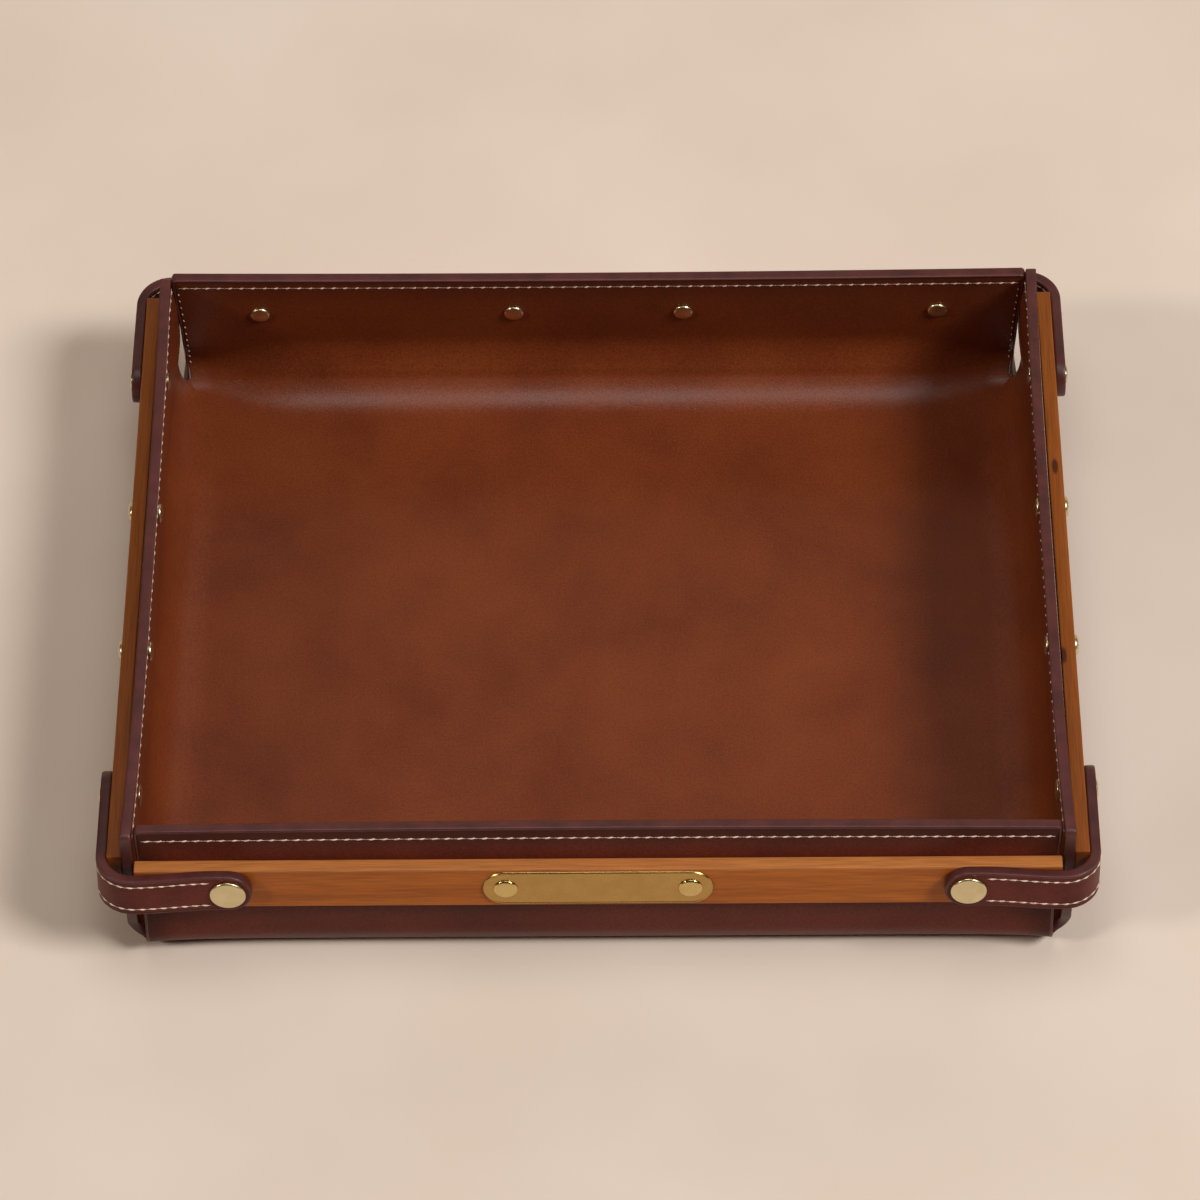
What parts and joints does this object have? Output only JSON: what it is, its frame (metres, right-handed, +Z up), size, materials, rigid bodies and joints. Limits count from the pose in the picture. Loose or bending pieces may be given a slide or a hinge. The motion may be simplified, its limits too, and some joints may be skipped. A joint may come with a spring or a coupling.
{
  "type": "valet tray",
  "caption": "Open rectangular leather tray with folded walls, outside wooden rails, a brass nameplate and corner straps that snap to the end rails, for holding small things.",
  "frame": {"origin": "on the table under the middle of the tray", "axes": "+X to the right along the front wall, +Y from the front wall to the back wall, +Z up"},
  "size_m": [0.4176, 0.3392, 0.078],
  "materials": {
    "outer_leather": "satin",
    "lining_leather": "satin",
    "strap_leather": "satin",
    "cherry": "oiled",
    "aged_brass": "brushed",
    "pale_brass": "satin"
  },
  "bodies": {
    "tray": {"outer_leather": "outer_leather", "lining_leather": "lining_leather", "front_rail": "cherry", "back_rail": "cherry", "left_rail": "cherry", "right_rail": "cherry", "nameplate": "aged_brass", "front_plate_rivets": "aged_brass", "front_plate_rivet_caps": "aged_brass", "back_rail_rivets": "aged_brass", "back_rail_rivet_caps": "aged_brass", "left_rail_rivets": "aged_brass", "left_rail_rivet_caps": "aged_brass", "left_strap_rivets": "aged_brass", "left_strap_rivet_caps": "aged_brass", "right_rail_rivets": "aged_brass", "right_rail_rivet_caps": "aged_brass", "right_strap_rivets": "aged_brass", "right_strap_rivet_caps": "aged_brass", "front_snap_studs": "pale_brass", "front_stud_posts": "pale_brass", "back_snap_studs": "pale_brass", "back_stud_posts": "pale_brass", "front_right_strap_outer": "strap_leather", "front_right_strap_lining": "strap_leather", "front_left_strap_outer": "strap_leather", "front_left_strap_lining": "strap_leather", "back_right_strap_outer": "strap_leather", "back_right_strap_lining": "strap_leather", "back_left_strap_outer": "strap_leather", "back_left_strap_lining": "strap_leather"},
    "front_right_tab_end": {"front_right_tab_outer": "strap_leather", "front_right_tab_lining": "strap_leather", "front_right_snap_cap": "pale_brass", "front_right_snap_socket": "pale_brass"},
    "front_left_tab_end": {"front_left_tab_outer": "strap_leather", "front_left_tab_lining": "strap_leather", "front_left_snap_cap": "pale_brass", "front_left_snap_socket": "pale_brass"},
    "back_right_tab_end": {"back_right_tab_outer": "strap_leather", "back_right_tab_lining": "strap_leather", "back_right_snap_cap": "pale_brass", "back_right_snap_socket": "pale_brass"},
    "back_left_tab_end": {"back_left_tab_outer": "strap_leather", "back_left_tab_lining": "strap_leather", "back_left_snap_cap": "pale_brass", "back_left_snap_socket": "pale_brass"}
  },
  "joints": [
    {"name": "front_right_tab_flex", "type": "hinge", "parent": "tray", "child": "front_right_tab_end", "pos_m": [0.187, -0.16764, 0.05141], "axis": [0, 0.1132, 0.9936], "range_deg": [0, 60]},
    {"name": "front_left_tab_flex", "type": "hinge", "parent": "tray", "child": "front_left_tab_end", "pos_m": [-0.187, -0.16764, 0.05141], "axis": [0, -0.1132, -0.9936], "range_deg": [0, 60]},
    {"name": "back_right_tab_flex", "type": "hinge", "parent": "tray", "child": "back_right_tab_end", "pos_m": [0.187, 0.16764, 0.05141], "axis": [0, 0.1132, -0.9936], "range_deg": [0, 60]},
    {"name": "back_left_tab_flex", "type": "hinge", "parent": "tray", "child": "back_left_tab_end", "pos_m": [-0.187, 0.16764, 0.05141], "axis": [0, -0.1132, 0.9936], "range_deg": [0, 60]}
  ]
}
